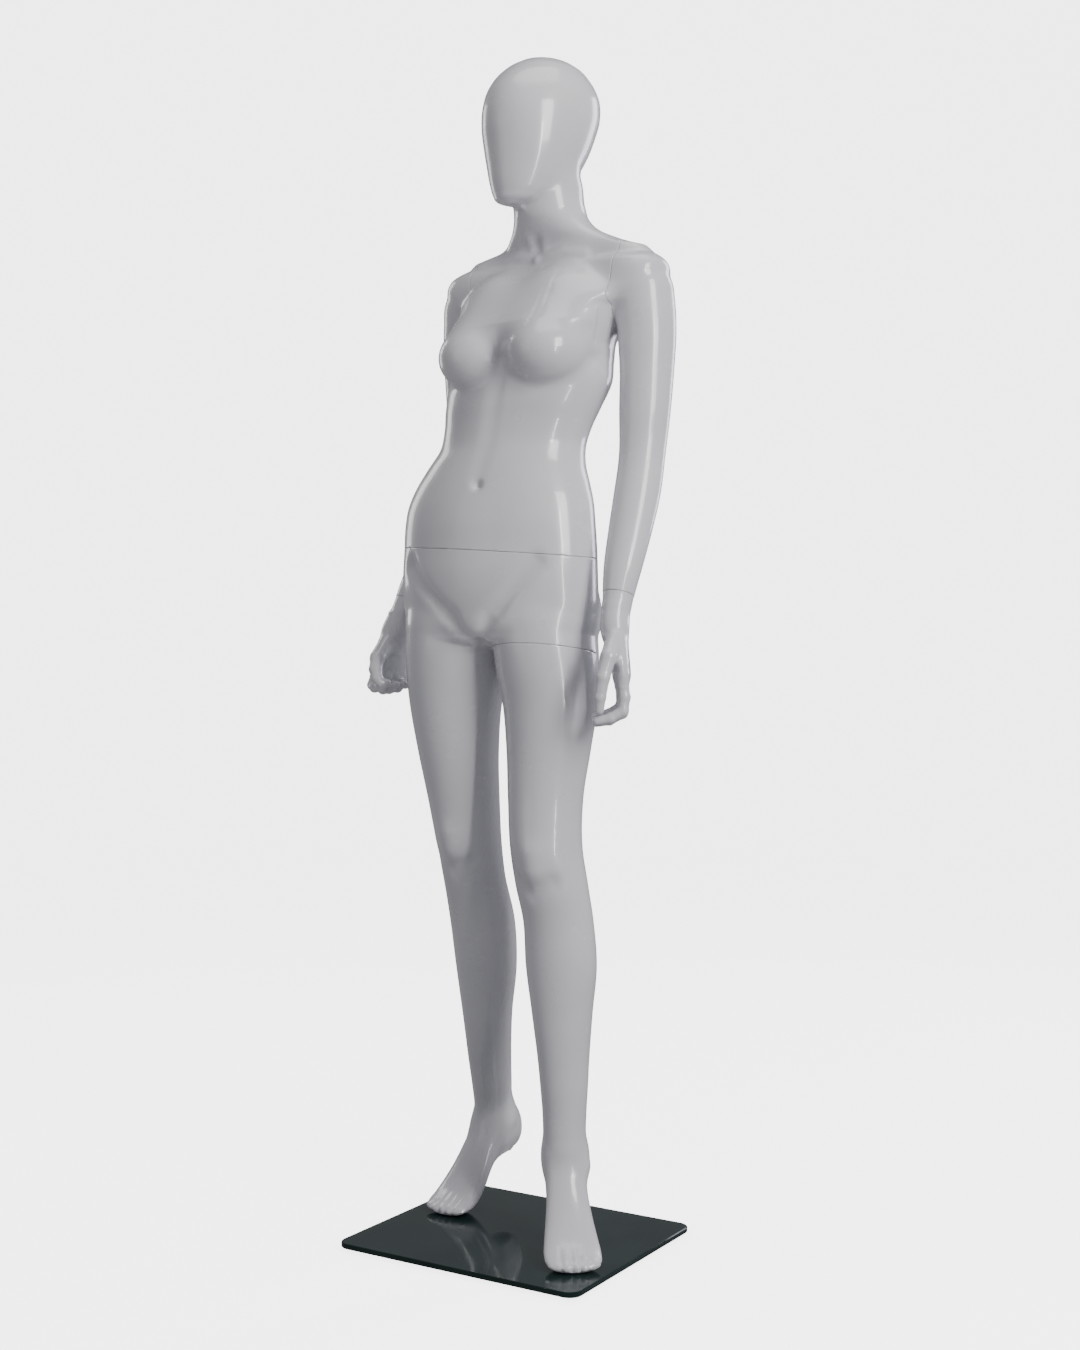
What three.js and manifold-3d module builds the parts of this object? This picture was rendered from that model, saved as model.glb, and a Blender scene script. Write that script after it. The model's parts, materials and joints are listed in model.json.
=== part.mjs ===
// Full body female mannequin, faceless and gloss white, standing on a tinted glass base.
// Millimetres, +Z up. She faces -Y, her left side is +X, and z = 0 is the floor under the bumpers.
import * as THREE from "three";
import { mergeVertices } from "three/addons/utils/BufferGeometryUtils.js";
import Module from "manifold-3d";

const wasm = await Module();
wasm.setup();

// ---- driving dimensions ----
const WALL = 4; // thickness of the moulded shells
const PLATE = 4; // thickness of the plates that close the shells
const FIT = 0.3; // gap round a piece that sits inside another
const SEAM = 0.25; // each side of a seam stands this far off the seam plane
const BUMPER = { height: 6, radius: 12, inset: 34 };
const GLASS = { width: 410, depth: 350, thick: 8, corner: 20 };
const GLASS_TOP = BUMPER.height + FIT + GLASS.thick;
const SOLE = GLASS_TOP + 0.4; // height of the soles, just clear of the glass
const ROD = { x: 88, y: -7.5, radius: 6, top: 214 };
const ANKLE_FILL = ROD.top + 18; // the left foot is filled solid up to here, round the rod tube
const RIGHT_FOOT = { x: -132, y: 136, fill: 175 }; // and the right foot up to its fill
const TUBE = { radius: 8.5, bottom: 97, top: ROD.top + 12 }; // the tube round the rod in the left ankle
const COARSE = 12; // points round a hidden surface

const PAINT = {
  shell: { color: 0xf2f2f5, roughness: 0.18, metalness: 0 },
  plate: { color: 0xe4e4e6, roughness: 0.5, metalness: 0 },
  steel: { color: 0xb9bcc0, roughness: 0.3, metalness: 1 },
  chrome: { color: 0xd8dadd, roughness: 0.12, metalness: 1 },
  glass: { color: 0x16302d, roughness: 0.05, metalness: 0 },
  rubber: { color: 0x1c1c1e, roughness: 0.85, metalness: 0 },
};

// ---- the body, as rows [z, centre x, centre y, half width, front depth, back depth] ----
const TORSO = [
  [1000, -23, -16, 159, 98, 114],
  [1040, -22, -14, 157, 98, 106],
  [1075, -22, -12, 154, 99, 100],
  [1105, -21, -9, 149, 98, 96],
  [1135, -20, -5, 139, 95, 92],
  [1165, -16, -1, 124, 90, 90],
  [1190, -9, 3, 115, 86, 90],
  [1220, -3, 6, 117, 86, 92],
  [1250, 4, 10, 124, 90, 95],
  [1285, 12, 17, 129, 93, 98],
  [1320, 20, 23, 123, 94, 97],
  [1350, 27, 31, 118, 90, 92],
  [1374, 32, 38, 132, 82, 84],
  [1400, 36, 44, 160, 69, 70],
  [1425, 39, 49, 178, 56, 58],
  [1442, 40, 52, 182, 48, 51],
  [1459, 39, 54, 174, 44, 48],
  [1477, 42, 54, 146, 42, 47],
  [1495, 47, 51, 102, 44, 48],
  [1513, 41, 46, 74, 51, 52],
  [1532, 37, 42, 58, 57, 55],
  [1555, 34, 39, 53, 57, 55],
  [1600, 31, 36, 52, 57, 56],
];
const PELVIS = [
  [884, -20, -14, 96, 44, 62],
  [892, -21, -15, 128, 70, 88],
  [912, -22, -15, 150, 86, 108],
  [945, -22, -16, 158, 94, 117],
  [975, -23, -16, 160, 97, 118],
  [1000, -23, -16, 159, 98, 114],
  [1040, -22, -14, 157, 98, 106],
  [1075, -22, -12, 154, 99, 100],
];
const LEFT_LEG = [
  [150, 89, -6, 32, 34, 36],
  [176, 88, -7, 31, 33, 34],
  [211, 88, -8, 32, 33, 36],
  [246, 88, -9, 34, 36, 40],
  [282, 87, -10, 36, 38, 46],
  [353, 85, -12, 43, 42, 56],
  [423, 84, -13, 52, 46, 60],
  [493, 81, -16, 52, 47, 56],
  [545, 75, -22, 54, 52, 52],
  [599, 69, -26, 53, 56, 52],
  [669, 65, -23, 55, 56, 58],
  [743, 67, -18, 62, 62, 66],
  [809, 68, -15, 70, 70, 72],
  [860, 63, -15, 75, 77, 82],
  [900, 58, -15, 77, 81, 92],
  [940, 54, -15, 80, 84, 98],
];
const RIGHT_LEG = [
  [130, -132, 136, 30, 33, 36],
  [160, -131, 134, 29, 32, 33],
  [199, -127, 124, 31, 33, 35],
  [238, -124, 114, 33, 35, 38],
  [317, -117, 95, 38, 39, 46],
  [394, -109, 79, 47, 44, 55],
  [470, -102, 58, 50, 47, 56],
  [545, -96, 28, 48, 49, 48],
  [585, -95, 16, 49, 52, 50],
  [659, -100, 6, 54, 55, 58],
  [736, -103, -5, 61, 62, 66],
  [809, -103, -12, 70, 70, 74],
  [860, -100, -14, 76, 77, 86],
  [900, -97, -15, 78, 81, 94],
  [940, -94, -15, 80, 84, 98],
];
const LEFT_ARM = [
  [832, 182, -40, 7, 31, 30],
  [843, 183, -40, 12, 37, 35],
  [864, 185, -39, 14, 39, 36],
  [886, 186, -38, 15, 34, 32],
  [908, 187, -36, 17, 26, 26],
  [932, 188, -32, 18, 23, 23],
  [966, 188, -23, 22, 25, 25],
  [1005, 189, -12, 27, 29, 29],
  [1060, 190, 8, 31, 33, 33],
  [1115, 191, 27, 33, 36, 36],
  [1170, 192, 40, 33, 36, 35],
  [1240, 193, 47, 37, 39, 39],
  [1300, 194, 51, 39, 42, 42],
  [1350, 193, 53, 42, 45, 45],
  [1400, 189, 54, 44, 47, 47],
  [1430, 184, 54, 44, 45, 45],
  [1450, 176, 54, 40, 40, 40],
  [1463, 169, 54, 30, 30, 30],
  [1470, 164, 54, 14, 14, 14],
];
const RIGHT_ARM = [
  [836, -235, -17, 7, 31, 30],
  [846, -236, -16, 12, 36, 34],
  [864, -235, -14, 14, 38, 35],
  [886, -232, -9, 15, 34, 32],
  [908, -228, -1, 17, 26, 26],
  [932, -225, 8, 18, 23, 23],
  [966, -216, 22, 22, 25, 25],
  [1005, -207, 40, 27, 29, 29],
  [1060, -192, 67, 31, 33, 33],
  [1115, -178, 96, 33, 36, 36],
  [1170, -163, 118, 33, 36, 36],
  [1235, -153, 106, 37, 39, 39],
  [1295, -142, 90, 40, 42, 42],
  [1345, -129, 72, 43, 45, 45],
  [1395, -113, 59, 46, 47, 47],
  [1430, -105, 55, 46, 45, 45],
  [1452, -98, 54, 42, 40, 40],
  [1465, -90, 54, 32, 30, 30],
  [1472, -85, 54, 14, 14, 14],
];
// The head's rows are in its own turned frame, as offsets from HEAD's x and y.
const HEAD = { x: 24, y: 30, turn: -13 };
const HEAD_ROWS = [
  [1548, 0, -62, 12, 12, 14],
  [1553, 0, -57, 25, 24, 28],
  [1563, 0, -46, 38, 38, 42],
  [1580, 0, -33, 49, 55, 60],
  [1603, 0, -21, 59, 70, 76],
  [1633, 0, -12, 68, 83, 88],
  [1665, 0, -5, 74, 94, 96],
  [1695, 0, 2, 76, 99, 99],
  [1725, 0, 7, 71, 93, 93],
  [1748, 0, 10, 59, 77, 77],
  [1765, 0, 13, 43, 56, 56],
  [1775, 0, 14, 25, 33, 33],
  [1780, 0, 14, 7, 9, 9],
];
const BREAST = { z: 1336, x: 22, y: -52, apart: 64, radii: [61, 62, 58] };
// A foot in its own frame, ankle at the origin and toes towards -Y: rows [y, sole z, top z, half width].
const FOOT_ROWS = [
  [50, 104, 128, 9],
  [45, 92, 146, 20],
  [32, 85, 164, 27],
  [12, 83, 176, 29],
  [-14, 73, 158, 30],
  [-38, 52, 124, 31],
  [-60, 31, 92, 35],
  [-80, 17, 68, 39],
  [-98, SOLE, 48, 41],
  [-114, SOLE, 36, 38],
  [-126, SOLE + 1, 29, 29],
  [-132, SOLE + 4, 25, 14],
];

const [LEFT_TOE_OUT, RIGHT_TOE_OUT] = [38, -5]; // degrees each foot is turned from straight ahead
const FINGER_RADII = [8.5, 8, 7, 5.5];
const THUMB_RADII = [11, 10, 8.5, 6.5];
// Each digit runs through four points; the four fingers sit side by side across the knuckles.
const ACROSS = [-27, -9, 9, 25];
const SHORTER = [4, 0, 2, 8];
const FINGERS = {
  left: ACROSS.map((y, i) => [
    [183, y - 38, 844], [186, y - 37, 816],
    [183, y - 36, 790 + SHORTER[i]], [175, y - 36, 776 + SHORTER[i]],
  ]),
  right: ACROSS.map((y, i) => [
    [-236, y - 16, 848], [-234, y - 18, 828],
    [-221, y - 20, 822 + SHORTER[i] / 2], [-207, y - 20, 830],
  ]),
};
const THUMB = {
  left: [[186, -60, 892], [184, -76, 864], [180, -80, 842], [175, -80, 825]],
  right: [[-232, -36, 892], [-230, -50, 868], [-225, -56, 850], [-218, -56, 838]],
};

// ---- seam planes: a point on each and the direction square to it ----
const unit = (x, y, z) => new THREE.Vector3(x, y, z).normalize();
const WAIST = { at: new THREE.Vector3(-20, -12, 1033), axis: unit(0.075, 0, 1) };
const THIGH = { at: new THREE.Vector3(60, -15, 886), axis: unit(0, 0.14, 1) };
const SHOULDER = {
  left: { at: new THREE.Vector3(158, 54, 1412), axis: unit(1, 0, -0.08) },
  right: { at: new THREE.Vector3(-78, 55, 1405), axis: unit(-1, 0.06, -0.1) },
};
const along = (a, b) => new THREE.Vector3(...b).sub(new THREE.Vector3(...a)).normalize();
const WRIST = {
  left: { at: new THREE.Vector3(188, -23, 966), axis: along([189, -12, 1005], [188, -32, 932]) },
  right: { at: new THREE.Vector3(-216, 22, 966), axis: along([-207, 40, 1005], [-225, 8, 932]) },
};

// ---- building blocks ----
function solid(geometry) {
  const g = new THREE.BufferGeometry();
  const flat = geometry.index ? geometry.toNonIndexed() : geometry;
  g.setAttribute("position", flat.getAttribute("position").clone());
  const merged = mergeVertices(g, 1e-4);
  return new wasm.Manifold(
    new wasm.Mesh({
      numProp: 3,
      vertProperties: new Float32Array(merged.attributes.position.array),
      triVerts: new Uint32Array(merged.index.array),
    }),
  );
}

function geometryOf(body) {
  const m = body.getMesh();
  const g = new THREE.BufferGeometry();
  g.setAttribute("position", new THREE.BufferAttribute(new Float32Array(m.vertProperties), 3));
  g.setIndex(new THREE.BufferAttribute(new Uint32Array(m.triVerts), 1));
  return g;
}

const join = (...bodies) => bodies.reduce((a, b) => a.add(b));
const above = (body, seam, offset = 0) =>
  body.trimByPlane(seam.axis.toArray(), seam.axis.dot(seam.at) + offset);
const below = (body, seam, offset = 0) =>
  body.trimByPlane(seam.axis.clone().negate().toArray(), -seam.axis.dot(seam.at) - offset);

// Skins a stack of rings, every ring counter-clockwise seen from the end of the stack.
function skin(rings) {
  const n = rings[0].length;
  const points = rings.flat();
  const faces = [];
  for (let i = 0; i + 1 < rings.length; i++)
    for (let j = 0; j < n; j++) {
      const k = (j + 1) % n;
      const [a, b, c, d] = [i * n + j, i * n + k, (i + 1) * n + k, (i + 1) * n + j];
      faces.push(a, b, c, a, c, d);
    }
  for (const [ring, flip] of [[0, true], [rings.length - 1, false]]) {
    const centre = new THREE.Vector3();
    rings[ring].forEach((p) => centre.addScaledVector(p, 1 / n));
    const hub = points.push(centre) - 1;
    for (let j = 0; j < n; j++) {
      const [a, b] = [ring * n + j, ring * n + ((j + 1) % n)];
      faces.push(hub, flip ? b : a, flip ? a : b);
    }
  }
  const g = new THREE.BufferGeometry().setFromPoints(points);
  g.setIndex(faces);
  return solid(g);
}

// A limb or trunk from rows of level sections; inset shrinks it to the inside of its wall.
function limb(rows, { inset = 0, low = 0, high = 0, around = 20 } = {}) {
  const kept = rows.filter((r) => Math.min(r[3], r[4], r[5]) > inset + 4);
  const [z0, z1] = [kept[0][0], kept[kept.length - 1][0]];
  const stretch = (z) => z0 + low + ((z - z0) * (z1 - high - z0 - low)) / (z1 - z0);
  return skin(
    kept.map(([z, cx, cy, a, front, back]) =>
      Array.from({ length: around }, (_, j) => {
        const t = (2 * Math.PI * j) / around;
        const [c, s] = [Math.cos(t), Math.sin(t)];
        return new THREE.Vector3(
          cx + (a - inset) * c,
          cy + ((s < 0 ? front : back) - inset) * s,
          stretch(z),
        );
      }),
    ),
  );
}

const FOOT_POINTS = 14;
const FINGER_POINTS = 7;
function foot(x, y, turn) {
  const body = skin(
    FOOT_ROWS.map(([fy, z0, z1, w]) =>
      Array.from({ length: FOOT_POINTS }, (_, j) => {
        const t = (2 * Math.PI * j) / FOOT_POINTS;
        return new THREE.Vector3(w * Math.cos(t), fy, (z0 + z1) / 2 + ((z1 - z0) / 2) * Math.sin(t));
      }),
    ),
  );
  return body.rotate([0, 0, turn]).translate([x, y, 0]);
}

// A finger: round sections through the given points, from the knuckle to the tip.
function finger(points, radii) {
  const path = points.map((p) => new THREE.Vector3(...p));
  const last = path.length - 1;
  const onward = path[last].clone().sub(path[last - 1]).normalize();
  path.push(path[last].clone().addScaledVector(onward, radii[last] * 0.8));
  radii = [...radii, radii[last] * 0.45];
  return skin(
    path.map((p, i) => {
      const [before, after] = [path[Math.max(i - 1, 0)], path[Math.min(i + 1, path.length - 1)]];
      const ahead = after.clone().sub(before).normalize();
      const side = new THREE.Vector3(0, 1, 0).cross(ahead).normalize();
      const up = ahead.clone().cross(side);
      return Array.from({ length: FINGER_POINTS }, (_, j) => {
        const t = (2 * Math.PI * j) / FINGER_POINTS;
        return p
          .clone()
          .addScaledVector(side, radii[i] * Math.cos(t))
          .addScaledVector(up, radii[i] * Math.sin(t));
      });
    }),
  );
}

// A turned piece: its profile of [radius, height] pairs runs up the outside from the axis and back.
function turned(profile, seam, around = 16) {
  const g = new THREE.LatheGeometry(profile.map(([r, h]) => new THREE.Vector2(r, h)), around);
  g.rotateX(Math.PI / 2); // lathe height becomes +Z
  g.applyQuaternion(new THREE.Quaternion().setFromUnitVectors(new THREE.Vector3(0, 0, 1), seam.axis));
  g.translate(...seam.at.toArray());
  return solid(g);
}
const ring = (inner, outer, z0, z1, seam, around) =>
  turned([[inner, z0], [outer, z0], [outer, z1], [inner, z1], [inner, z0]], seam, around);
const disc = (radius, z0, z1, seam, around) =>
  turned([[0, z0], [radius, z0], [radius, z1], [0, z1]], seam, around);
const upright = (x, y) => ({ at: new THREE.Vector3(x, y, 0), axis: new THREE.Vector3(0, 0, 1) });

const group = new THREE.Group();
function add(name, paint, body) {
  const mesh = new THREE.Mesh(geometryOf(body), new THREE.MeshStandardMaterial(PAINT[paint]));
  mesh.name = name;
  group.add(mesh);
}

// ---- mouldings ----
const breasts = [-1, 1].map((side) =>
  solid(new THREE.SphereGeometry(1, 16, 10).rotateX(Math.PI / 2))
    .scale(BREAST.radii)
    .translate([BREAST.x + side * BREAST.apart, BREAST.y, BREAST.z]),
);
const headPlace = (body) => body.rotate([0, 0, HEAD.turn]).translate([HEAD.x, HEAD.y, 0]);
const head = headPlace(limb(HEAD_ROWS));
const headRows = HEAD_ROWS.slice(3); // the chin stays solid
const headHollow = headPlace(limb(headRows, { inset: WALL, low: WALL, high: WALL, around: COARSE }));

const SIDES = ["left", "right"];
const ARM = { left: LEFT_ARM, right: RIGHT_ARM };
const ARMPIT = 1335; // the shoulder seam cuts the torso only above this height

// A level slab, wide enough to hold the whole figure.
const slab = (z0, z1) =>
  solid(new THREE.BoxGeometry(900, 900, z1 - z0).translate(0, 0, (z0 + z1) / 2));
const facing = (seam) => ({ at: seam.at, axis: seam.axis.clone().negate() });
const upward = (body, z) => above(body, upright(0, 0), z);
const downward = (body, z) => below(body, upright(0, 0), z);
// The plate that closes a shell just behind a seam: side +1 is ahead of the seam's axis, -1 behind.
const closing = (inside, seam, side, bore) => {
  const s = side > 0 ? seam : facing(seam);
  return below(above(inside, s, SEAM), s, SEAM + PLATE).subtract(disc(bore, -20, 20, s));
};
const BEHIND = SEAM + PLATE + FIT; // just past a plate, along its seam's axis

// torso, neck and head in one moulding
const torsoOuter = join(limb(TORSO), head, ...breasts);
const shoulderCut = (body, side) =>
  body.subtract(above(slab(ARMPIT, 1500), SHOULDER[side], -SEAM));
const torsoHollow = join(limb(TORSO, { inset: WALL, around: COARSE }), headHollow);
const torsoInside = limb(TORSO, { inset: WALL + FIT, around: COARSE });
add("torso_head_shell", "shell",
  above(SIDES.reduce(shoulderCut, torsoOuter).subtract(torsoHollow), WAIST, SEAM));
const SPIGOT = { radius: 13, length: 112, flange: 38 };
const POST = { radius: 12, length: 60, flange: 30 };
// A post stands on a flange held under one plate and runs up through it past the seam.
const post = (p, seam) =>
  turned(
    [
      [0, -BEHIND - 3], [p.flange, -BEHIND - 3], [p.flange, -BEHIND], [p.radius, -BEHIND],
      [p.radius, p.length - 6], [p.radius - 3, p.length], [0, p.length],
    ],
    seam,
  );
// The tube it slides into, flanged over the facing plate.
const sleeve = (p, seam) =>
  join(
    ring(p.radius + 0.5, p.radius + 3, BEHIND, p.length + 4, seam),
    ring(p.radius + 0.5, p.flange, BEHIND, BEHIND + 3, seam),
  );
add("torso_waist_plate", "plate", closing(torsoInside, WAIST, 1, SPIGOT.radius + 0.5));
add("waist_socket", "steel", sleeve(SPIGOT, WAIST));

// hips and right leg in one moulding, with the stub of the left thigh
const leftLeg = join(limb(LEFT_LEG), foot(ROD.x, ROD.y, LEFT_TOE_OUT));
const rightLeg = join(limb(RIGHT_LEG), foot(RIGHT_FOOT.x, RIGHT_FOOT.y, RIGHT_TOE_OUT));
const hollowLeg = (rows, fill) => upward(limb(rows, { inset: WALL, around: COARSE }), fill);
const CROTCH = -18.5; // the thigh seam cuts only what has a greater x
const leftSide = slab(0, 1200).trimByPlane([1, 0, 0], CROTCH);
const hips = join(limb(PELVIS), limb(LEFT_LEG)).subtract(below(leftSide, THIGH, SEAM));
const pelvisRows = PELVIS.slice(2); // the crotch stays solid
const hipsHollow = join(
  limb(pelvisRows, { inset: WALL, around: COARSE }),
  hollowLeg(RIGHT_LEG, RIGHT_FOOT.fill),
  above(limb(LEFT_LEG, { inset: WALL, around: COARSE }), THIGH, -10),
);
add("hips_right_leg_shell", "shell",
  below(join(hips, rightLeg).subtract(hipsHollow), WAIST, -SEAM));
add("hips_waist_plate", "plate",
  closing(limb(PELVIS, { inset: WALL + FIT, around: COARSE }), WAIST, -1, SPIGOT.radius + FIT));
add("waist_spigot", "steel", post(SPIGOT, WAIST));
const thighInside = limb(LEFT_LEG, { inset: WALL + FIT, around: COARSE });
add("hips_thigh_plate", "plate", closing(thighInside, THIGH, 1, POST.radius + 0.5));
add("thigh_socket", "steel", sleeve(POST, THIGH));

// left leg, with the tube for the rod in its filled ankle
const ankle = upright(ROD.x, ROD.y);
const out = THREE.MathUtils.degToRad(LEFT_TOE_OUT);
const heelScrew = {
  at: new THREE.Vector3(ROD.x, ROD.y, 128),
  axis: unit(-Math.sin(out), Math.cos(out), 0),
};
const SCREW = { radius: 4, socket: 2, from: TUBE.radius + 0.4, to: 40 };
add("left_leg_shell", "shell",
  below(leftLeg, THIGH, -SEAM)
    .subtract(hollowLeg(LEFT_LEG, ANKLE_FILL))
    .subtract(disc(TUBE.radius + FIT, 0, TUBE.top + 2, ankle))
    .subtract(disc(SCREW.radius + FIT, 0, 80, heelScrew)));
add("left_leg_top_plate", "plate", closing(thighInside, THIGH, -1, POST.radius + FIT));
add("leg_post", "steel", post(POST, THIGH));
add("rod_socket_tube", "steel", ring(ROD.radius + 0.5, TUBE.radius, TUBE.bottom, TUBE.top, ankle));
add("rod_set_screw", "chrome",
  turned(
    [
      [0, SCREW.from], [SCREW.radius, SCREW.from], [SCREW.radius, SCREW.to],
      [SCREW.socket, SCREW.to], [SCREW.socket, SCREW.to - 3], [0, SCREW.to - 3],
    ],
    heelScrew,
    12,
  ));

// arms and hands
const STUD = { radius: 8, head: 12, flange: 20, reach: 26 };
const PIN = { radius: 4, head: 6, flange: 12, reach: 16 };
const ELBOW = 1170; // height that parts the upper arm from the forearm
// A stud with a wider head, its flange's top the given height along the seam's axis.
const stud = (s, seam, top) =>
  turned(
    [
      [0, top - 2.5], [s.flange, top - 2.5], [s.flange, top], [s.radius, top],
      [s.radius, s.reach - 8], [s.head, s.reach - 6], [s.head, s.reach - 2],
      [s.head - 2, s.reach], [0, s.reach],
    ],
    seam,
    12,
  );
// The cup that takes it, flanged behind the facing plate.
const cup = (s, seam) =>
  turned(
    [
      [0, s.reach + 1.5], [s.head + 0.5, s.reach + 1.5], [s.head + 0.5, BEHIND],
      [s.flange, BEHIND], [s.flange, BEHIND + 2.5], [s.head + 2.5, BEHIND + 2.5],
      [s.head + 2.5, s.reach + 4], [0, s.reach + 4],
    ],
    seam,
    12,
  );
for (const side of SIDES) {
  const [shoulder, wrist] = [SHOULDER[side], WRIST[side]];
  const arm = limb(ARM[side], { around: 16 });
  const inside = limb(ARM[side], { inset: WALL, around: COARSE });
  const fitted = limb(ARM[side], { inset: WALL + FIT, around: COARSE });
  add("torso_" + side + "_shoulder_plate", "plate",
    closing(upward(torsoInside, ARMPIT + WALL), shoulder, -1, STUD.head + 0.5));
  add(side + "_shoulder_socket", "steel", cup(STUD, facing(shoulder)));
  add(side + "_arm_shell", "shell",
    below(above(arm.subtract(inside), shoulder, SEAM), wrist, -SEAM));
  add(side + "_arm_shoulder_plate", "plate",
    closing(upward(fitted, ELBOW), shoulder, 1, STUD.radius + FIT));
  add(side + "_shoulder_stud", "steel", stud(STUD, facing(shoulder), -BEHIND));
  add(side + "_arm_wrist_plate", "plate",
    closing(downward(fitted, ELBOW), wrist, -1, PIN.head + 0.5));
  add(side + "_wrist_socket", "steel", cup(PIN, facing(wrist)));
  add(side + "_hand", "shell",
    join(
      above(arm, wrist, SEAM),
      ...FINGERS[side].map((p) => finger(p, FINGER_RADII)),
      finger(THUMB[side], THUMB_RADII),
    ).subtract(disc(PIN.flange + FIT, -3.2, 2, facing(wrist))));
  add(side + "_wrist_pin", "steel", stud(PIN, facing(wrist), -SEAM));
}

// glass base, its bumpers and the rod that holds the left foot
const [halfW, halfD] = [GLASS.width / 2, GLASS.depth / 2];
const [cw, cd] = [halfW - GLASS.corner, halfD - GLASS.corner];
const outline = new THREE.Shape();
[[cw, cd], [-cw, cd], [-cw, -cd], [cw, -cd]].forEach(([x, y], quarter) =>
  outline.absarc(x, y, GLASS.corner - 1, (quarter * Math.PI) / 2, ((quarter + 1) * Math.PI) / 2),
);
const HUB = { foot: GLASS_TOP + 1.8, floor: 26, top: 40, flange: 22, boss: 11, bolt: 4, hole: 7 };
const WASHER = { radius: 18, bottom: 4.8, top: BUMPER.height };
const sheet = new THREE.ExtrudeGeometry(outline, {
  depth: GLASS.thick - 2, curveSegments: 6, bevelThickness: 1, bevelSize: 1, bevelSegments: 1,
}).translate(0, 0, GLASS_TOP - GLASS.thick + 1);
add("glass_base", "glass", solid(sheet).subtract(disc(HUB.hole, 0, HUB.top, ankle)));
for (const [name, sx, sy] of [
  ["bumper_front_left", 1, -1], ["bumper_front_right", -1, -1],
  ["bumper_back_left", 1, 1], ["bumper_back_right", -1, 1],
])
  add(name, "rubber",
    turned(
      [[0, 0], [BUMPER.radius - 1, 0], [BUMPER.radius, BUMPER.height], [0, BUMPER.height]],
      upright(sx * (halfW - BUMPER.inset), sy * (halfD - BUMPER.inset)),
      16,
    ));
add("hub_gasket", "rubber", ring(HUB.hole + 0.5, HUB.flange, GLASS_TOP + FIT, HUB.foot - FIT, ankle));
add("base_hub", "chrome",
  turned(
    [
      [HUB.bolt + FIT, HUB.foot], [HUB.flange, HUB.foot], [HUB.flange, HUB.foot + 3],
      [HUB.boss, HUB.foot + 5], [HUB.boss, HUB.top], [ROD.radius + FIT, HUB.top],
      [ROD.radius + FIT, HUB.floor], [HUB.bolt + FIT, HUB.floor], [HUB.bolt + FIT, HUB.foot],
    ],
    ankle,
  ));
add("support_rod", "steel",
  turned(
    [
      [0, HUB.floor + FIT], [ROD.radius, HUB.floor + FIT], [ROD.radius, ROD.top - 3],
      [ROD.radius - 2, ROD.top], [0, ROD.top],
    ],
    ankle,
    16,
  ));
add("under_washer", "steel", ring(HUB.bolt + FIT, WASHER.radius, WASHER.bottom, WASHER.top, ankle));
add("hub_bolt", "steel",
  join(
    disc(HUB.bolt + 3.5, WASHER.bottom - 3.3, WASHER.bottom - FIT, ankle, 6),
    disc(HUB.bolt, 4, HUB.floor - FIT, ankle),
  ));

export default group;
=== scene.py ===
"""Looks of the full body mannequin: a gloss white, faceless female figure on a tinted glass base.

The figure is one smooth implicit surface, joined from tables of level sections. It is meshed, hollowed
and cut apart at the same seams as the CAD, so each moulding rides on its own body. Lengths are in
millimetres until a mesh is made. The figure faces -Y and its left side is +X.
"""

import json
import math

import bmesh
import bpy
import numpy as np
from mathutils import Matrix, Vector


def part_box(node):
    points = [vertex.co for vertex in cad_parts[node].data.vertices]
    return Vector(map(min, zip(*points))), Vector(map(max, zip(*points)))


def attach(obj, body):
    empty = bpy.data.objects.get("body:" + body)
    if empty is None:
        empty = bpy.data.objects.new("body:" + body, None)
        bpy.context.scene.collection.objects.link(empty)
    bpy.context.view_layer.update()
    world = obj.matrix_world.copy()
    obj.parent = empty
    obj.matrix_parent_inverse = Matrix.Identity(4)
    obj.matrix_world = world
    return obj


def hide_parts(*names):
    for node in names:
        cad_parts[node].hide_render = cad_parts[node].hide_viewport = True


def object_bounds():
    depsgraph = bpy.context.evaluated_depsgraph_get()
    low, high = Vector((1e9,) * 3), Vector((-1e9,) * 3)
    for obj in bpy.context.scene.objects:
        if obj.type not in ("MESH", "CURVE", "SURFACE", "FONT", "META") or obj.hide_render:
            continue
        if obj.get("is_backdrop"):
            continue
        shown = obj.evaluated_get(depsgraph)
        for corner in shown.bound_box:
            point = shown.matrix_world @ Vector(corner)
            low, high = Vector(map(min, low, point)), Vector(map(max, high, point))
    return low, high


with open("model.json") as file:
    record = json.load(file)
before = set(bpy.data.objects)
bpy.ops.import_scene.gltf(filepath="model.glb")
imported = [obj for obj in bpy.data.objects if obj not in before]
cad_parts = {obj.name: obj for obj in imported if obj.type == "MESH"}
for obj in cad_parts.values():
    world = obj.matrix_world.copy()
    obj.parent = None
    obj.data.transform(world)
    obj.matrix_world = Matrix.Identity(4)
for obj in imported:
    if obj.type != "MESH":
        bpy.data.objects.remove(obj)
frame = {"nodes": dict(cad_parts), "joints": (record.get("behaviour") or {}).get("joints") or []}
CAD_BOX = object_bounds()

MM = 0.001
WALL = 4.0  # thickness of the mouldings
PLATE = 4.0  # thickness of the plates that close them
FIT = 0.5  # gap round a plate
SEAM = 0.25  # each side of a seam stands this far off the seam plane
CHAMFER = {"half_width": 1.3, "depth": 0.9}  # the eased edge along a seam
BODY_STEP = 3.2  # grid of the body's mesh
HAND_STEP = 1.6
HOLLOW_STEP = 8.0

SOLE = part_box("glass_base")[1].z / MM + 0.4
ROD = (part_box("support_rod")[0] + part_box("support_rod")[1]) / 2 / MM
ROD_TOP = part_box("support_rod")[1].z / MM
ANKLE_FILL = ROD_TOP + 18  # the left foot is solid up to here, and the right one to RIGHT_FILL
RIGHT_FILL = 175.0

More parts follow.
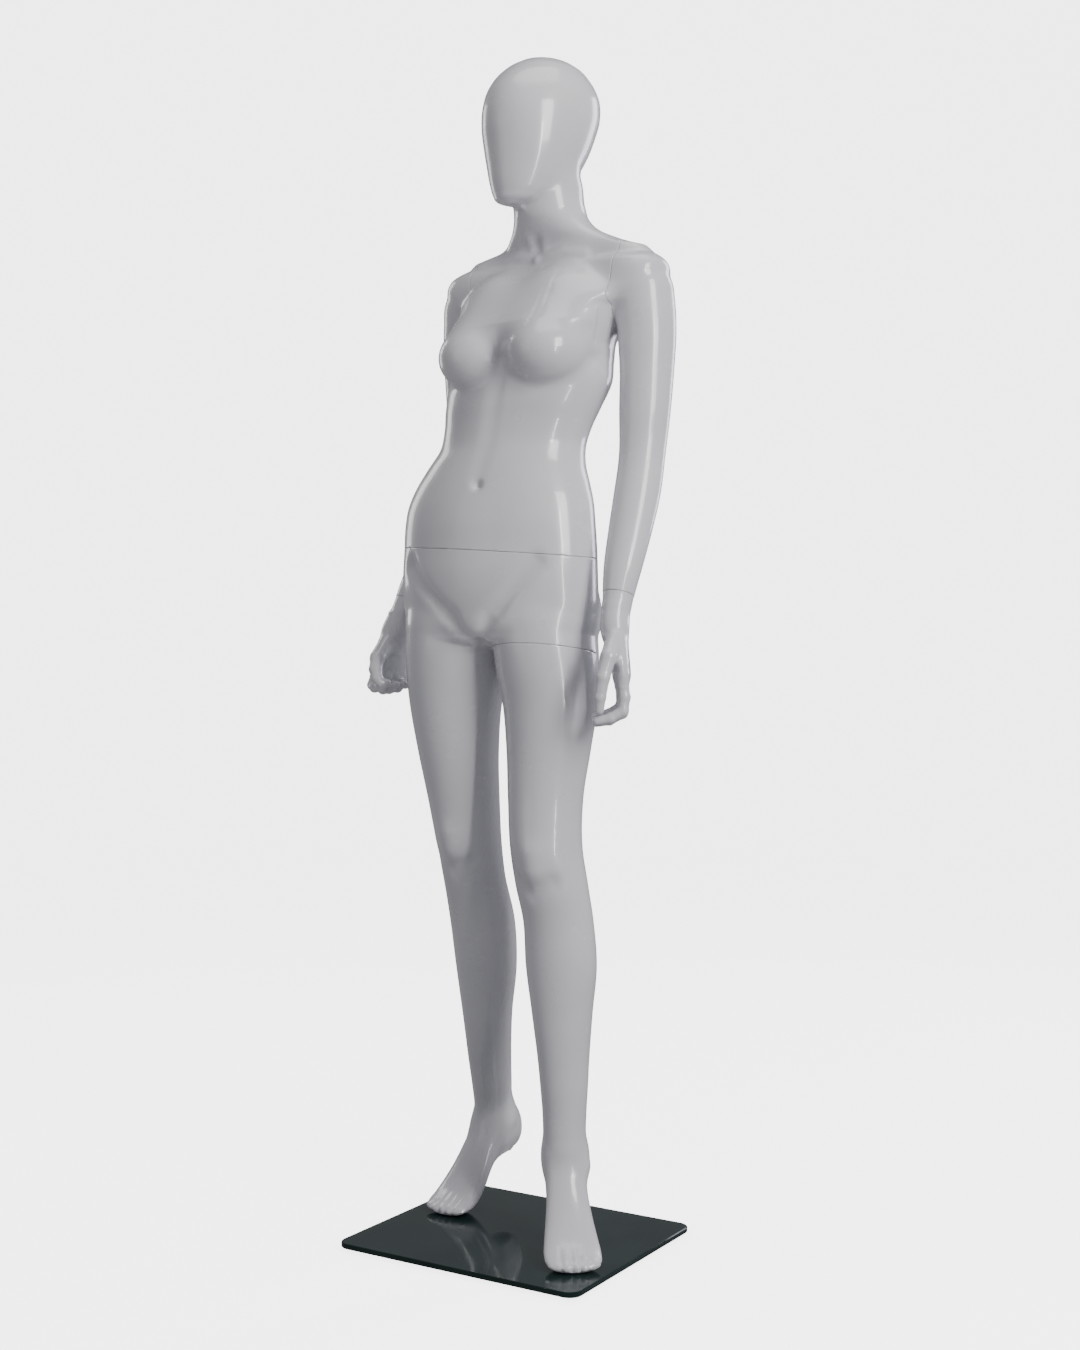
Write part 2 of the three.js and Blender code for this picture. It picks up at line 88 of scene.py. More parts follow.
# ---- the body, as rows [z, centre x, centre y, half width, front depth, back depth] ----
TRUNK = [
    [893, -21, -14, 112, 54, 74],
    [900, -21, -15, 134, 72, 94],
    [912, -22, -15, 148, 82, 106],
    [945, -22, -16, 158, 91, 113],
    [975, -23, -16, 160, 96, 115],
    [1000, -23, -16, 160, 98, 112],
    [1040, -23, -14, 159, 98, 104],
    [1075, -24, -12, 157, 99, 99],
    [1105, -24, -9, 153, 98, 95],
    [1135, -22, -5, 142, 95, 92],
    [1165, -17, -1, 127, 90, 90],
    [1190, -10, 3, 117, 86, 90],
    [1220, -3, 6, 118, 86, 92],
    [1250, 4, 10, 125, 90, 95],
    [1285, 12, 17, 131, 93, 98],
    [1320, 20, 23, 123, 94, 97],
    [1350, 27, 31, 118, 90, 92],
    [1374, 32, 38, 132, 82, 84],
    [1400, 36, 44, 160, 69, 70],
    [1425, 39, 49, 178, 56, 58],
    [1442, 40, 52, 182, 48, 51],
    [1459, 39, 54, 174, 44, 48],
    [1477, 42, 54, 146, 42, 47],
    [1495, 47, 51, 102, 44, 48],
    [1513, 41, 46, 74, 51, 52],
    [1532, 37, 42, 58, 57, 55],
    [1555, 34, 39, 53, 57, 55],
    [1592, 31, 36, 52, 57, 54],
    [1620, 30, 32, 46, 50, 42],
    [1642, 29, 28, 30, 34, 26],
    [1652, 29, 26, 12, 14, 10],
]
LEFT_LEG = [
    [108, 90, -2, 20, 20, 24],
    [128, 89, -4, 28, 29, 32],
    [150, 89, -6, 32, 34, 36],
    [176, 88, -7, 31, 33, 34],
    [211, 88, -8, 32, 33, 36],
    [246, 88, -9, 34, 36, 40],
    [282, 87, -10, 36, 38, 46],
    [353, 85, -12, 43, 42, 56],
    [423, 84, -13, 52, 46, 60],
    [493, 81, -16, 52, 47, 56],
    [545, 75, -22, 54, 52, 52],
    [599, 69, -26, 53, 56, 52],
    [669, 65, -23, 55, 56, 58],
    [743, 67, -18, 62, 62, 66],
    [809, 68, -15, 70, 70, 72],
    [860, 63, -15, 75, 77, 82],
    [900, 58, -15, 76, 80, 90],
    [940, 52, -15, 76, 78, 92],
    [975, 44, -14, 70, 66, 80],
]
RIGHT_LEG = [
    [92, -132, 138, 18, 20, 24],
    [112, -132, 137, 27, 29, 33],
    [132, -132, 136, 30, 33, 36],
    [160, -131, 134, 29, 32, 33],
    [199, -127, 124, 31, 33, 35],
    [238, -124, 114, 33, 35, 38],
    [317, -117, 95, 38, 39, 46],
    [394, -109, 79, 47, 44, 55],
    [470, -102, 58, 50, 47, 56],
    [545, -96, 28, 48, 49, 48],
    [585, -95, 16, 49, 52, 50],
    [659, -100, 6, 54, 55, 58],
    [736, -103, -5, 61, 62, 66],
    [809, -103, -12, 70, 70, 74],
    [860, -100, -14, 76, 77, 86],
    [900, -97, -15, 78, 80, 92],
    [940, -93, -15, 77, 79, 94],
    [975, -86, -14, 70, 66, 80],
]
LEFT_ARM = [
    [892, 187, -38, 5, 6, 6],
    [908, 187, -36, 13, 17, 17],
    [932, 188, -32, 18, 23, 23],
    [966, 188, -23, 22, 25, 25],
    [1005, 189, -12, 27, 29, 29],
    [1060, 190, 8, 31, 33, 33],
    [1115, 191, 27, 33, 36, 36],
    [1170, 192, 40, 33, 36, 35],
    [1240, 193, 47, 37, 39, 39],
    [1300, 194, 51, 39, 42, 42],
    [1350, 193, 53, 42, 45, 45],
    [1400, 189, 54, 43, 47, 47],
    [1430, 184, 54, 43, 45, 45],
    [1450, 176, 54, 39, 40, 40],
    [1463, 169, 54, 29, 30, 30],
    [1470, 164, 54, 14, 14, 14],
]
RIGHT_ARM = [
    [892, -231, -6, 5, 6, 6],
    [908, -228, -1, 13, 17, 17],
    [932, -225, 8, 18, 23, 23],
    [966, -216, 22, 22, 25, 25],
    [1005, -207, 40, 27, 29, 29],
    [1060, -192, 67, 31, 33, 33],
    [1115, -178, 96, 33, 36, 36],
    [1170, -163, 118, 33, 36, 36],
    [1235, -153, 106, 37, 39, 39],
    [1295, -142, 90, 40, 42, 42],
    [1345, -129, 72, 44, 45, 45],
    [1395, -115, 59, 49, 47, 47],
    [1430, -108, 55, 51, 45, 45],
    [1452, -100, 54, 46, 40, 40],
    [1468, -92, 54, 34, 30, 30],
    [1476, -86, 54, 14, 14, 14],
]
# The head's rows are offsets in its own turned frame.
HEAD = {"place": (24, 30), "turn": -13}
HEAD_ROWS = [
    [1548, 0, -62, 12, 12, 14],
    [1553, 0, -57, 25, 24, 28],
    [1563, 0, -46, 38, 38, 42],
    [1580, 0, -33, 49, 55, 60],
    [1603, 0, -21, 59, 70, 76],
    [1633, 0, -12, 68, 83, 88],
    [1665, 0, -5, 74, 94, 96],
    [1695, 0, 2, 76, 99, 99],
    [1725, 0, 7, 71, 93, 93],
    [1748, 0, 10, 59, 77, 77],
    [1765, 0, 13, 43, 56, 56],
    [1775, 0, 14, 25, 33, 33],
    [1780, 0, 14, 7, 9, 9],
]
# A foot in its own frame, ankle at the origin and toes towards -Y: rows [y, sole z, top z, half width].
FOOT_ROWS = [
    [52, 108, 126, 7],
    [47, 92, 146, 20],
    [34, 84, 164, 27],
    [12, 82, 178, 29],
    [-14, 73, 160, 30],
    [-38, 52, 126, 31],
    [-60, 31, 94, 35],
    [-80, 18, 69, 39],
    [-98, SOLE, 49, 41],
    [-114, SOLE, 38, 39],
    [-126, SOLE + 1, 31, 31],
    [-132, SOLE + 4, 26, 16],
]
FEET = {
    "left": {"place": (ROD.x, ROD.y), "turn": 38},
    "right": {"place": (-132, 136), "turn": -5},
}
# A hand in its own frame at the wrist: its back is +X and the thumb side -Y.
PALM_ROWS = [
    [944, -1, 2, 7, 9, 9],
    [928, 0, 0, 15, 19, 19],
    [905, 2, -1, 17, 26, 25],
    [886, 5, -3, 15, 33, 32],
    [864, 8, -3, 14, 38, 36],
    [846, 10, -2, 12, 37, 36],
    [836, 10, -2, 8, 32, 32],
]
FINGER_PLACES = [-28, -10, 8, 25]  # across the knuckles
FINGER_SHORTER = [3, 0, 2, 8]
HANDS = {
    "left": {
        "place": (188, -34), "turn": 32, "mirror": 1,
        "finger": [(8, 0, 848), (12, 0, 820), (10, 0, 797), (-8, -2, 787), (-27, -4, 783)],
        "thumb": [(-2, -22, 902), (-11, -42, 876), (-19, -48, 848), (-23, -46, 820), (-24, -42, 802)],
    },
    "right": {
        "place": (-227, 2), "turn": -8, "mirror": -1,
        "finger": [(8, -8, 848), (10, -12, 836), (2, -16, 829), (-14, -18, 829), (-28, -18, 836)],
        "thumb": [(-2, -24, 900), (-6, -46, 878), (-10, -54, 860), (-16, -56, 846), (-20, -55, 840)],
    },
}
FINGER_RADII = [9, 8.6, 8, 7.2, 5.8]
THUMB_RADII = [12, 11.5, 10, 8.4, 7]


# ---- seam planes: where each is, and the direction square to it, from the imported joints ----
JOINTS = {j["name"]: j for j in frame["joints"]}


def seam(joint, at):
    """The seam plane that a joint opens: a point on it and its axis, both as arrays."""
    return {"at": np.array(at, float), "axis": np.array(JOINTS[joint]["axis"], float)}


WAIST = seam("waist_lift_off", (-20, -12, 1033))
THIGH = seam("thigh_lift_off", (60, -15, 886))
SHOULDER = {
    "left": seam("left_shoulder_turn", (158, 54, 1412)),
    "right": seam("right_shoulder_turn", (-78, 55, 1405)),
}
WRIST = {
    "left": seam("left_wrist_turn", (188, -23, 966)),
    "right": seam("right_wrist_turn", (-216, 22, 966)),
}
ARMPIT = 1335.0  # the shoulder seams cut the body only above this height,
CHEST, FLANK = 1388.0, -12.0  # and in front of the y of FLANK only above CHEST, clear of the breasts
CROTCH = -18.5  # the thigh seam cuts only the figure's left of this x
SIDES = ("left", "right")


def off_plane(p, plane):
    """Signed distance of points from a seam plane."""
    return (p - plane["at"]) @ plane["axis"]


# ---- implicit fields: negative inside, about a distance near the surface ----
FAR = 60.0  # a field is worked out only this close to its own box


def local(field, low, high):
    """The field near its box, and a big value elsewhere, to save time."""
    low, high = np.array(low) - FAR, np.array(high) + FAR

    def limited(p):
        out = np.full(len(p), 2 * FAR)
        close = np.all((p > low) & (p < high), axis=1)
        if close.any():
            out[close] = field(p[close])
        return out

    return limited


def fine_rows(rows):
    """Rows at every millimetre, on cubic curves through the given ones."""
    rows = np.array(rows, float)
    t, v = rows[:, 0], rows[:, 1:]
    h = np.diff(t)[:, None]
    rise = np.diff(v, axis=0) / h
    inner = (rise[:-1] * h[1:] + rise[1:] * h[:-1]) / (h[1:] + h[:-1])
    slope = np.vstack([rise[:1], inner, rise[-1:]])
    at = np.arange(t[0], t[-1] + 0.5)
    i = np.clip(np.searchsorted(t, at, side="right") - 1, 0, len(t) - 2)
    s = ((at - t[i]) / h[i, 0])[:, None]
    return (
        (2 * s**3 - 3 * s**2 + 1) * v[i]
        + (s**3 - 2 * s**2 + s) * h[i] * slope[i]
        + (3 * s**2 - 2 * s**3) * v[i + 1]
        + (s**3 - s**2) * h[i] * slope[i + 1]
    )


def to_frame(p, place, turn):
    """Points in a frame that stands at place, turned by turn degrees about Z."""
    c, s = math.cos(math.radians(turn)), math.sin(math.radians(turn))
    x, y = p[:, 0] - place[0], p[:, 1] - place[1]
    return np.stack([c * x + s * y, c * y - s * x, p[:, 2]], 1)


def from_frame(p, place, turn):
    """The other way: points of that frame in the row frame."""
    c, s = math.cos(math.radians(turn)), math.sin(math.radians(turn))
    return (c * p[0] - s * p[1] + place[0], s * p[0] + c * p[1] + place[1], p[2])


def ellipse_field(dx, dy, a, d):
    q = np.sqrt((dx / a) ** 2 + (dy / d) ** 2) + 1e-6
    slope = np.sqrt((dx / a**2) ** 2 + (dy / d**2) ** 2) + 1e-6
    return np.maximum(q * (q - 1) / slope, -np.minimum(a, d))


def limb(rows, place=(0, 0), turn=0.0):
    """A limb or trunk through level sections."""
    start, table = rows[0][0], fine_rows(rows)
    last = len(table) - 1

    def field(p):
        q = to_frame(p, place, turn)
        at = np.clip(q[:, 2] - start, 0, last - 1e-3)
        i = at.astype(int)
        f = (at - i)[:, None]
        cx, cy, a, front, back = (table[i] * (1 - f) + table[i + 1] * f).T
        dx, dy = q[:, 0] - cx, q[:, 1] - cy
        side = ellipse_field(dx, dy, a, np.where(dy < 0, front, back))
        return np.maximum(side, np.maximum(start - q[:, 2], q[:, 2] - start - last))

    reach = max(abs(c) for r in rows for c in (r[1], r[2])) + max(max(r[3:]) for r in rows)
    if turn or place != (0, 0):
        low = (place[0] - reach, place[1] - reach, start)
        high = (place[0] + reach, place[1] + reach, start + last)
    else:
        low = (min(r[1] - r[3] for r in rows), min(r[2] - r[4] for r in rows), start)
        high = (max(r[1] + r[3] for r in rows), max(r[2] + r[5] for r in rows), start + last)
    return local(field, low, high)


def foot(place, turn):
    """A foot through upright sections, with a flat sole and five shallow toes."""
    rows = sorted([y, 0, (z0 + z1) / 2, w, (z1 - z0) / 2, (z1 - z0) / 2] for y, z0, z1, w in FOOT_ROWS)
    start, table = rows[0][0], fine_rows(rows)
    last = len(table) - 1
    toes = [-27, -11, 2, 14, 25]

    def field(p):
        q = to_frame(p, place, turn)
        at = np.clip(q[:, 1] - start, 0, last - 1e-3)
        i = at.astype(int)
        f = (at - i)[:, None]
        _, cz, a, under, over = (table[i] * (1 - f) + table[i + 1] * f).T
        dz = q[:, 2] - cz
        side = ellipse_field(q[:, 0], dz, a, np.where(dz < 0, under, over))
        body = np.maximum(side, np.maximum(start - q[:, 1], q[:, 1] - start - last))
        for x, nxt in zip(toes, toes[1:]):  # the dips between the toes
            gap = (x + nxt) / 2
            ahead = np.clip((-96 - q[:, 1]) / 20, 0, 1)
            body += 2.2 * ahead * np.exp(-(((q[:, 0] - gap) / 2.6) ** 2)) * (q[:, 2] > SOLE + 4)
        return body

    low = (place[0] - 140, place[1] - 140, SOLE)
    high = (place[0] + 140, place[1] + 60, 178)
    return local(field, low, high)


def egg(centre, radii):
    centre, radii = np.array(centre, float), np.array(radii, float)

    def field(p):
        d = (p - centre) / radii
        q = np.sqrt((d * d).sum(1)) + 1e-6
        return q * (q - 1) / (np.sqrt(((d / radii) ** 2).sum(1)) + 1e-6)

    return local(field, centre - radii, centre + radii)


def nearest_on(p, a, b):
    """Distance of points from the segment a to b, and how far along it the nearest point is, 0 to 1."""
    a, b = np.array(a, float), np.array(b, float)
    t = np.clip((p - a) @ (b - a) / ((b - a) @ (b - a)), 0, 1)
    return np.linalg.norm(p - a - t[:, None] * (b - a), axis=1), t


def digit(points, radii):
    """A finger or thumb: round segments that narrow towards the tip."""
    parts = list(zip(points, points[1:], radii, radii[1:]))

    def field(p):
        out = np.full(len(p), 2 * FAR)
        for a, b, ra, rb in parts:
            d, t = nearest_on(p, a, b)
            out = blend(out, d - (ra + (rb - ra) * t), 3.0)
        return out

    box = np.array(points)
    return local(field, box.min(0) - max(radii), box.max(0) + max(radii))


def blend(a, b, k):
    """Union of two fields with a smooth fillet about k wide."""
    h = np.clip(k - np.abs(a - b), 0, None) / k
    return np.minimum(a, b) - h * h * k / 4


def dent(points, radius, depth):
    """How much a soft groove along points lowers the surface there; a negative depth raises a ridge."""

    def amount(p):
        out = np.zeros(len(p))
        for a, b in zip(points, points[1:]):
            d, _ = nearest_on(p, a, b)
            out = np.maximum(out, np.exp(-((d / radius) ** 2)))
        return depth * out

    box = np.array(points, float)
    low, high = box.min(0) - 3 * radius, box.max(0) + 3 * radius

    def limited(p):
        out = np.zeros(len(p))
        close = np.all((p > low) & (p < high), axis=1)
        if close.any():
            out[close] = amount(p[close])
        return out

    return limited


# ---- the figure's shape ----
BREASTS = [
    (egg((21 + side * 60, -51, 1320), (55, 56, 47)), egg((26 + side * 53, -10, 1374), (54, 40, 68)))
    for side in (-1, 1)
]
BUTTOCKS = [egg((-21 + side * 66, 44, 938), (66, 66, 70)) for side in (-1, 1)]
RELIEF = [
    dent([(-4, -108, 1129), (-4, -96, 1126)], 7, 9),  # navel
    dent([(20, -72, 1290), (6, -86, 1200), (-3, -104, 1145)], 13, 2.4),  # line down the belly
    dent([(-18, -76, 898), (-50, -98, 940), (-130, -86, 1016)], 13, 9),  # the two groins
    dent([(-12, -76, 898), (20, -100, 938), (88, -88, 1012)], 13, 9),
    dent([(34, 4, 1474), (76, 8, 1478), (108, 16, 1472)], 8, -3.2),  # collar bones
    dent([(28, 4, 1474), (-8, 14, 1480), (-50, 26, 1474)], 8, -3.2),
    dent([(31, 0, 1484), (31, 6, 1500)], 10, 4),  # the pit of the throat
    dent([(40, 4, 1488), (72, 34, 1560)], 9, -2.4),  # neck muscles
    dent([(24, 4, 1488), (4, 20, 1560)], 9, -2.4),
    dent([(44, 104, 1470), (34, 122, 1380), (4, 104, 1220), (-18, 92, 1080)], 15, 5),  # spine
    dent([(96, 108, 1440), (84, 122, 1380)], 30, -4),  # shoulder blades
    dent([(-14, 108, 1440), (-8, 122, 1380)], 30, -4),
    dent([(-21, 124, 1000), (-21, 118, 950), (-21, 70, 893)], 11, 16),  # cleft
    dent([(74, -80, 572), (74, -80, 592)], 20, -6.5),  # left knee cap, and the dips round it
    dent([(44, -70, 552), (74, -76, 534), (102, -68, 552)], 13, 5),
    dent([(-95, -38, 590), (-95, -38, 608)], 20, -6.5),  # and the right one
    dent([(-124, -24, 570), (-95, -28, 554), (-68, -24, 570)], 13, 5),
    dent([(118, -6, 128), (120, 0, 132)], 12, -4),  # ankle bones
    dent([(58, 2, 136), (56, 6, 140)], 12, -4),
    dent([(-160, 140, 128), (-162, 144, 130)], 11, -4),
    dent([(-103, 134, 136), (-101, 138, 140)], 11, -4),
]

trunk_rows = limb(TRUNK)
head = limb(HEAD_ROWS, HEAD["place"], HEAD["turn"])
legs = {"left": limb(LEFT_LEG), "right": limb(RIGHT_LEG)}
arms = {"left": limb(LEFT_ARM), "right": limb(RIGHT_ARM)}
feet = {side: foot(**FEET[side]) for side in SIDES}


def relief(p):
    return sum(d(p) for d in RELIEF)


def torso(p):
    """Trunk, neck and head, drawn in at the armpits so that the shoulder seams clear them."""
    f = trunk_rows(p)
    y, z = p[:, 1], p[:, 2]
    soft = 12 + 48 * np.clip((z - 1312) / 50, 0, 1)  # full below, and run out smoothly above
    for breast, slope in BREASTS:
        f = blend(f, blend(breast(p), slope(p), 56), soft)
    front = np.clip(np.minimum(FLANK - 4 - y, CHEST - 4 - z), 0, None)
    uncut = np.maximum(front, np.clip(ARMPIT - z, 0, None))
    rise = np.clip(z - CHEST - 2, 0, 60) * 0.8
    for plane in SHOULDER.values():
        f = -blend(-f, -(off_plane(p, plane) + 3 - uncut - rise), 14)
    f = blend(f, head(p), 12)
    for cheek in BUTTOCKS:
        f = blend(f, cheek(p), 26)
    return f


def leg(p, side):
    return blend(legs[side](p), feet[side](p), 22)


def figure(p):
    """Everything but the left leg, of which only the stub above the thigh seam is here."""
    t = torso(p)
    fade = np.clip((p[:, 2] - ARMPIT - 12) / 50, 0.02, 1)
    top = 22 * np.clip((p[:, 2] - 1425) / 30, 0, 1)
    for side in SIDES:
        t = blend(t, arms[side](p), 26 * fade + top)
    stub = np.maximum(legs["left"](p), -off_plane(p, THIGH) - 4)
    return blend(blend(t, leg(p, "right"), 12), blend(t, stub, 12), 2) + relief(p)


def left_leg(p):
    """The left leg, to just above the thigh seam."""
    whole = blend(leg(p, "left"), torso(p), 12) + relief(p)
    return np.maximum(whole, np.maximum(off_plane(p, THIGH) - 4, CROTCH + 0.5 - p[:, 0]))


def hand(side):
    """A hand, from a little above the wrist seam to the finger tips."""
    spec = HANDS[side]

    def place(point):
        x, y, z = point
        return from_frame((x * spec["mirror"], y, z), spec["place"], spec["turn"])

    rows = [[z, x * spec["mirror"], y, a, front, back] for z, x, y, a, front, back in PALM_ROWS[::-1]]
    palm = limb(rows, spec["place"], spec["turn"])
    fingers = [
        digit([place((x, across + y, z + drop * (i > 1))) for i, (x, y, z) in enumerate(spec["finger"])],
              FINGER_RADII)
        for across, drop in zip(FINGER_PLACES, FINGER_SHORTER)
    ]
    thumb = digit([place(point) for point in spec["thumb"]], THUMB_RADII)

    def field(p):
        f = blend(palm(p), arms[side](p), 16)
        digits = np.full(len(p), 2 * FAR)
        for finger in fingers:
            digits = blend(digits, finger(p), 1.5)
        f = blend(f, digits, 7)
        f = blend(f, thumb(p), 8)
        return np.maximum(f, -off_plane(p, WRIST[side]) - 4)

    return field


def inner(field, gap=0.0):
    """The inside of a moulding whose outside is the field."""

    def inside(p):
        f = field(p)
        out = f + WALL + gap
        close = np.abs(f) < 30
        q = p[close]
        if len(q):
            g = np.stack([field(q + d) - f[close] for d in np.eye(3)], 1)
            out[close] = f[close] / np.clip(np.linalg.norm(g, axis=1), 1, None) + WALL + gap
        return out

    return inside


# ---- meshing: surface nets on a grid, worked out only near the surface ----
BLOCK = 4  # grid steps to a side of a block


def surface(field, low, high, step, rounds=3):
    """Points and quads of the closed surface where the field is zero."""
    low = np.array(low, float)
    blocks = np.ceil((np.array(high) - low) / (step * BLOCK)).astype(int)
    coarse = [low[k] + step * BLOCK * np.arange(blocks[k] + 1) for k in range(3)]
    grid = np.stack(np.meshgrid(*coarse, indexing="ij"), -1).reshape(-1, 3)
    value = field(grid).reshape(blocks + 1)
    corners = [
        value[i : blocks[0] + i, j : blocks[1] + j, k : blocks[2] + k]
        for i in (0, 1) for j in (0, 1) for k in (0, 1)
    ]
    near = np.min(np.abs(corners), axis=0) < step * BLOCK * 2.4
    size = blocks * BLOCK + 1
    fine = np.ones(size, np.float32)
    mask = np.zeros(size, bool)
    grow = np.ones((BLOCK,) * 3, bool)
    fine[:-1, :-1, :-1] = np.kron(np.sign(corners[0]), grow)
    mask[:-1, :-1, :-1] = np.kron(near, grow)
    for axis in range(3):  # the far side of each block too
        mask |= np.roll(mask, 1, axis)
    at = np.argwhere(mask)
    values = np.empty(len(at))
    for i in range(0, len(at), 400000):
        values[i : i + 400000] = field(low + step * at[i : i + 400000])
    fine[mask] = values
    inside = fine < 0
    count = np.zeros(size - 1, np.int8)
    for i in (0, 1):
        for j in (0, 1):
            for k in (0, 1):
                count += inside[i : size[0] - 1 + i, j : size[1] - 1 + j, k : size[2] - 1 + k]
    active = (count > 0) & (count < 8)
    cells = np.argwhere(active)
    index = np.full(active.shape, -1, np.int32)
    index[active] = np.arange(len(cells))
    total, hits = np.zeros((len(cells), 3)), np.zeros(len(cells))
    for axis in range(3):
        for u in (0, 1):
            for v in (0, 1):
                start = np.zeros(3, int)
                start[(axis + 1) % 3], start[(axis + 2) % 3] = u, v
                end = start.copy()
                end[axis] = 1
                a = fine[tuple((cells + start).T)]
                b = fine[tuple((cells + end).T)]
                cut = (a < 0) != (b < 0)
                point = np.tile(start.astype(float), (len(cells), 1))
                point[:, axis] = np.where(cut, a / (a - b + 1e-30), 0)
                total[cut] += point[cut]
                hits[cut] += 1
    points = low + step * (cells + total / hits[:, None])
    quads = []
    for axis in range(3):
        u, v = (axis + 1) % 3, (axis + 2) % 3
        first, second = [slice(None)] * 3, [slice(None)] * 3
        first[axis], second[axis] = slice(0, -1), slice(1, None)
        edge = np.argwhere(inside[tuple(first)] != inside[tuple(second)])
        ring = []
        for du, dv in ((1, 1), (0, 1), (0, 0), (1, 0)):
            cell = edge.copy()
            cell[:, u] -= du
            cell[:, v] -= dv
            ring.append(index[tuple(cell.T)])
        quad = np.stack(ring, 1)
        flip = ~inside[tuple(edge.T)]
        quad[flip] = quad[flip][:, ::-1]
        quads.append(quad)
    if min(quad.min() for quad in quads) < 0:
        raise ValueError("the surface runs out of its box")
    return settle(field, points, step, rounds), np.concatenate(quads)


def slopes(field, points, reach=0.6):
    return np.stack([field(points + d) - field(points - d) for d in np.eye(3) * reach], 1) / (2 * reach)


def settle(field, points, step, rounds):
    """Moves points onto the surface."""
    for _ in range(rounds):
        g = slopes(field, points)
        move = -(field(points) / np.clip((g * g).sum(1), 0.1, None))[:, None] * g
        length = np.linalg.norm(move, axis=1, keepdims=True)
        points = points + move * np.minimum(1, step / np.maximum(length, 1e-9))
    return points


def new_object(name, points, faces):
    """A mesh object from points in millimetres."""
    mesh = bpy.data.meshes.new(name)
    mesh.from_pydata((np.asarray(points) * MM).tolist(), [], [list(map(int, f)) for f in faces])
    mesh.update()
    obj = bpy.data.objects.new(name, mesh)
    bpy.context.scene.collection.objects.link(obj)
    return obj


def ease_seam(obj, plane, keep):
    """A shallow V round the mesh at a seam plane, where keep(point) holds."""
    bm = bmesh.new()
    bm.from_mesh(obj.data)
    axis, at = Vector(plane["axis"]), Vector(plane["at"]) * MM
    half = CHAMFER["half_width"] * MM
    reach = 4 * BODY_STEP * MM
    for offset in (-half, half, 0.0):
        geometry = [
            f for f in bm.faces
            if abs((f.calc_center_median() - at).dot(axis)) < reach and keep(f.calc_center_median() / MM)
        ]
        linked = {v for f in geometry for v in f.verts} | {e for f in geometry for e in f.edges}
        cut = bmesh.ops.bisect_plane(
            bm, geom=list(linked) + geometry, dist=1e-7, plane_co=at + axis * offset, plane_no=axis,
        )["geom_cut"]
    bm.normal_update()
    middle = [(v, v.normal.copy()) for v in cut if isinstance(v, bmesh.types.BMVert)]
    for v, normal in middle:
        flat = normal - axis * normal.dot(axis)
        if flat.length > 1e-6:
            v.co -= flat.normalized() * CHAMFER["depth"] * MM
    bm.to_mesh(obj.data)
    bm.free()


# ---- cutting the figure apart ----
def plane_basis(plane):
    """A matrix that takes local Z to the plane's axis and the origin to its point, in metres."""
    turn = Vector((0, 0, 1)).rotation_difference(Vector(plane["axis"])).to_matrix().to_4x4()
    return Matrix.Translation(Vector(plane["at"]) * MM) @ turn


def prism(name, outline, low, high, plane):
    """A closed prism over an outline in the plane's own coordinates, from low to high along its axis."""
    n = len(outline)
    points = [(x, y, low) for x, y in outline] + [(x, y, high) for x, y in outline]
    sides = [(i, (i + 1) % n, n + (i + 1) % n, n + i) for i in range(n)]
    obj = new_object(name, points, [tuple(range(n))[::-1], tuple(range(n, 2 * n)), *sides])
    obj.data.transform(plane_basis(plane))
    return obj


def circle(radius, around=64):
    turns = [2 * math.pi * i / around for i in range(around)]
    return [(radius * math.cos(t), radius * math.sin(t)) for t in turns]


def ellipse(half_width, half_depth, around=64):
    return [(x * half_width, y * half_depth) for x, y in circle(1, around)]


def boolean(obj, other, operation="DIFFERENCE"):
    """obj less other, or what they share; other is used up."""
    modifier = obj.modifiers.new("cut", "BOOLEAN")
    modifier.operation, modifier.object, modifier.solver = operation, other, "MANIFOLD"
    graph = bpy.context.evaluated_depsgraph_get()
    made = bpy.data.meshes.new_from_object(obj.evaluated_get(graph))
    obj.modifiers.clear()
    old, obj.data = obj.data, made
    bpy.data.meshes.remove(old)
    bpy.data.objects.remove(other)
    return obj


def islands(obj):
    """The connected parts of a mesh, as (points in metres, faces) pairs, biggest first."""
    mesh = obj.data
    points = np.empty(len(mesh.vertices) * 3)
    mesh.vertices.foreach_get("co", points)
    points = points.reshape(-1, 3)
    edges = np.empty(len(mesh.edges) * 2, int)
    mesh.edges.foreach_get("vertices", edges)
    edges = edges.reshape(-1, 2)
    label = np.arange(len(points))
    while True:
        before = label.copy()
        low = np.minimum(label[edges[:, 0]], label[edges[:, 1]])
        np.minimum.at(label, label[edges[:, 0]], low)
        np.minimum.at(label, label[edges[:, 1]], low)
        label = label[label]
        if np.array_equal(before, label):
            break
    faces = [tuple(p.vertices) for p in mesh.polygons]
    of_face = label[np.array([f[0] for f in faces])]
    parts = []
    for name in np.unique(label):
        chosen = np.flatnonzero(label == name)
        place = np.full(len(points), -1)
        place[chosen] = np.arange(len(chosen))
        parts.append((points[chosen], [place[list(faces[i])] for i in np.flatnonzero(of_face == name)]))
    return sorted(parts, key=lambda part: -len(part[0]))


SHARP = math.radians(38)  # faces that meet at more than this keep a hard edge


def finish_piece(obj, body, material, slot, *nodes):
    """Paints, smooths and places a made piece, and hides the CAD nodes it stands for."""
    obj.data.materials.clear()
    obj.data.materials.append(material)
    obj.data.shade_smooth()
    obj.data.set_sharp_from_angle(angle=SHARP)
    if nodes:
        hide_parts(*nodes)
    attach(obj, body)
    return obj


def piece_from(part, name):
    points, faces = part
    return new_object(name, points / MM, faces)


# ---- materials ----
def node_material(name, **sockets):
    """A principled material; the sockets' names have spaces written as underscores."""
    material = bpy.data.materials.new(name)
    material.use_nodes = True
    shader = material.node_tree.nodes["Principled BSDF"]
    for key, value in sockets.items():
        shader.inputs[key.replace("_", " ")].default_value = value
    return material, material.node_tree, shader


